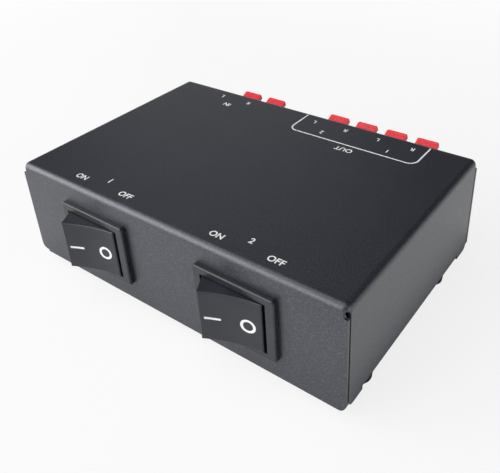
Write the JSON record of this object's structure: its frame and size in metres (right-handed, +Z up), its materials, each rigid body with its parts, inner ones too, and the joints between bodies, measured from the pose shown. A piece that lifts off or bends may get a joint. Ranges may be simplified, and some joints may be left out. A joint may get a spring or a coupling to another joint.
{
  "type": "speaker selector switch",
  "caption": "Flat folded steel box with rocker switches in front and push-lever wire terminals at the back, which switches loudspeakers on and off.",
  "frame": {"origin": "middle of the box's footprint, on the surface that the feet stand on", "axes": "+X to the right seen from the switches' side, +Y from the switches to the terminals, +Z up"},
  "size_m": [0.143, 0.1124, 0.0456],
  "materials": {
    "powder_coat": "black powder coat, fine texture, satin",
    "switch_plastic": "black moulded plastic, satin",
    "rocker_plastic": "black moulded plastic, fine matte grain",
    "block_plastic": "black moulded plastic, satin",
    "red_plastic": "bright red moulded plastic",
    "black_plastic": "black moulded plastic",
    "white_nylon": "natural nylon",
    "rubber": "black rubber",
    "zinc_steel": "bright zinc plate",
    "rivet_aluminium": "plain",
    "spring_steel": "nickel plate",
    "brass": "plain",
    "red_wire": "red insulation",
    "black_wire": "black insulation"
  },
  "bodies": {
    "case": {"top_cover": "powder_coat", "base_plate": "powder_coat", "rubber_foot_1": "rubber", "rubber_foot_2": "rubber", "rubber_foot_3": "rubber", "rubber_foot_4": "rubber", "foot_screws": "zinc_steel", "switch_1_housing": "switch_plastic", "switch_1_common_tabs": "brass", "switch_1_contact_tabs": "brass", "switch_2_housing": "switch_plastic", "switch_2_common_tabs": "brass", "switch_2_contact_tabs": "brass", "input_terminal_block": "block_plastic", "input_block_rivets": "rivet_aluminium", "input_red_clamp_1": "spring_steel", "input_black_clamp_1": "spring_steel", "input_red_clamp_2": "spring_steel", "input_black_clamp_2": "spring_steel", "output_terminal_block": "block_plastic", "output_block_rivets": "rivet_aluminium", "output_red_clamp_1": "spring_steel", "output_black_clamp_1": "spring_steel", "output_red_clamp_2": "spring_steel", "output_black_clamp_2": "spring_steel", "output_red_clamp_3": "spring_steel", "output_black_clamp_3": "spring_steel", "output_red_clamp_4": "spring_steel", "output_black_clamp_4": "spring_steel", "feed_wires": "red_wire", "link_wires": "red_wire", "pair_1_wires": "red_wire", "pair_2_wires": "red_wire", "return_wires": "black_wire"},
    "rocker_1": {"switch_1_rocker": "rocker_plastic", "switch_1_plungers": "white_nylon", "switch_1_springs": "spring_steel"},
    "contact_arm_1_left": {"switch_1_contact_arm_left": "brass"},
    "contact_arm_1_right": {"switch_1_contact_arm_right": "brass"},
    "rocker_2": {"switch_2_rocker": "rocker_plastic", "switch_2_plungers": "white_nylon", "switch_2_springs": "spring_steel"},
    "contact_arm_2_left": {"switch_2_contact_arm_left": "brass"},
    "contact_arm_2_right": {"switch_2_contact_arm_right": "brass"},
    "input_red_lever_1": {"input_red_lever_1": "red_plastic"},
    "input_black_lever_1": {"input_black_lever_1": "black_plastic"},
    "input_red_lever_2": {"input_red_lever_2": "red_plastic"},
    "input_black_lever_2": {"input_black_lever_2": "black_plastic"},
    "output_red_lever_1": {"output_red_lever_1": "red_plastic"},
    "output_black_lever_1": {"output_black_lever_1": "black_plastic"},
    "output_red_lever_2": {"output_red_lever_2": "red_plastic"},
    "output_black_lever_2": {"output_black_lever_2": "black_plastic"},
    "output_red_lever_3": {"output_red_lever_3": "red_plastic"},
    "output_black_lever_3": {"output_black_lever_3": "black_plastic"},
    "output_red_lever_4": {"output_red_lever_4": "red_plastic"},
    "output_black_lever_4": {"output_black_lever_4": "black_plastic"}
  },
  "joints": [
    {"name": "rocker_1_tilt", "type": "hinge", "parent": "case", "child": "rocker_1", "pos_m": [-0.0321, -0.0467, 0.0249], "axis": [0, 0, -1], "range_deg": [0, 34]},
    {"name": "contact_arm_1_left_rock", "type": "hinge", "parent": "case", "child": "contact_arm_1_left", "pos_m": [-0.0321, -0.03705, 0.0299], "axis": [0, 0, 1], "range_deg": [0, 14]},
    {"name": "contact_arm_1_right_rock", "type": "hinge", "parent": "case", "child": "contact_arm_1_right", "pos_m": [-0.0321, -0.03705, 0.0199], "axis": [0, 0, 1], "range_deg": [0, 14]},
    {"name": "rocker_2_tilt", "type": "hinge", "parent": "case", "child": "rocker_2", "pos_m": [0.0321, -0.0467, 0.0249], "axis": [0, 0, -1], "range_deg": [0, 34]},
    {"name": "contact_arm_2_left_rock", "type": "hinge", "parent": "case", "child": "contact_arm_2_left", "pos_m": [0.0321, -0.03705, 0.0299], "axis": [0, 0, 1], "range_deg": [0, 14]},
    {"name": "contact_arm_2_right_rock", "type": "hinge", "parent": "case", "child": "contact_arm_2_right", "pos_m": [0.0321, -0.03705, 0.0199], "axis": [0, 0, 1], "range_deg": [0, 14]},
    {"name": "input_red_lever_1_press", "type": "hinge", "parent": "case", "child": "input_red_lever_1", "pos_m": [-0.03925, 0.044, 0.0351], "axis": [-1, 0, 0], "range_deg": [0, 24], "stiffness_Nm_per_rad": 0.08, "springref_deg": -17.19, "deforming": ["input_red_clamp_1"]},
    {"name": "input_black_lever_1_press", "type": "hinge", "parent": "case", "child": "input_black_lever_1", "pos_m": [-0.03925, 0.044, 0.0196], "axis": [-1, 0, 0], "range_deg": [0, 24], "stiffness_Nm_per_rad": 0.08, "springref_deg": -17.19, "deforming": ["input_black_clamp_1"]},
    {"name": "input_red_lever_2_press", "type": "hinge", "parent": "case", "child": "input_red_lever_2", "pos_m": [-0.02575, 0.044, 0.0351], "axis": [-1, 0, 0], "range_deg": [0, 24], "stiffness_Nm_per_rad": 0.08, "springref_deg": -17.19, "deforming": ["input_red_clamp_2"]},
    {"name": "input_black_lever_2_press", "type": "hinge", "parent": "case", "child": "input_black_lever_2", "pos_m": [-0.02575, 0.044, 0.0196], "axis": [-1, 0, 0], "range_deg": [0, 24], "stiffness_Nm_per_rad": 0.08, "springref_deg": -17.19, "deforming": ["input_black_clamp_2"]},
    {"name": "output_red_lever_1_press", "type": "hinge", "parent": "case", "child": "output_red_lever_1", "pos_m": [0.00775, 0.044, 0.0351], "axis": [-1, 0, 0], "range_deg": [0, 24], "stiffness_Nm_per_rad": 0.08, "springref_deg": -17.19, "deforming": ["output_red_clamp_1"]},
    {"name": "output_black_lever_1_press", "type": "hinge", "parent": "case", "child": "output_black_lever_1", "pos_m": [0.00775, 0.044, 0.0196], "axis": [-1, 0, 0], "range_deg": [0, 24], "stiffness_Nm_per_rad": 0.08, "springref_deg": -17.19, "deforming": ["output_black_clamp_1"]},
    {"name": "output_red_lever_2_press", "type": "hinge", "parent": "case", "child": "output_red_lever_2", "pos_m": [0.02125, 0.044, 0.0351], "axis": [-1, 0, 0], "range_deg": [0, 24], "stiffness_Nm_per_rad": 0.08, "springref_deg": -17.19, "deforming": ["output_red_clamp_2"]},
    {"name": "output_black_lever_2_press", "type": "hinge", "parent": "case", "child": "output_black_lever_2", "pos_m": [0.02125, 0.044, 0.0196], "axis": [-1, 0, 0], "range_deg": [0, 24], "stiffness_Nm_per_rad": 0.08, "springref_deg": -17.19, "deforming": ["output_black_clamp_2"]},
    {"name": "output_red_lever_3_press", "type": "hinge", "parent": "case", "child": "output_red_lever_3", "pos_m": [0.03475, 0.044, 0.0351], "axis": [-1, 0, 0], "range_deg": [0, 24], "stiffness_Nm_per_rad": 0.08, "springref_deg": -17.19, "deforming": ["output_red_clamp_3"]},
    {"name": "output_black_lever_3_press", "type": "hinge", "parent": "case", "child": "output_black_lever_3", "pos_m": [0.03475, 0.044, 0.0196], "axis": [-1, 0, 0], "range_deg": [0, 24], "stiffness_Nm_per_rad": 0.08, "springref_deg": -17.19, "deforming": ["output_black_clamp_3"]},
    {"name": "output_red_lever_4_press", "type": "hinge", "parent": "case", "child": "output_red_lever_4", "pos_m": [0.04825, 0.044, 0.0351], "axis": [-1, 0, 0], "range_deg": [0, 24], "stiffness_Nm_per_rad": 0.08, "springref_deg": -17.19, "deforming": ["output_red_clamp_4"]},
    {"name": "output_black_lever_4_press", "type": "hinge", "parent": "case", "child": "output_black_lever_4", "pos_m": [0.04825, 0.044, 0.0196], "axis": [-1, 0, 0], "range_deg": [0, 24], "stiffness_Nm_per_rad": 0.08, "springref_deg": -17.19, "deforming": ["output_black_clamp_4"]}
  ],
  "couplings": [
    {"joint": "contact_arm_1_left_rock", "follows": "rocker_1_tilt", "ratio": 0.4117},
    {"joint": "contact_arm_1_right_rock", "follows": "rocker_1_tilt", "ratio": 0.4117},
    {"joint": "contact_arm_2_left_rock", "follows": "rocker_2_tilt", "ratio": 0.4117},
    {"joint": "contact_arm_2_right_rock", "follows": "rocker_2_tilt", "ratio": 0.4117}
  ]
}
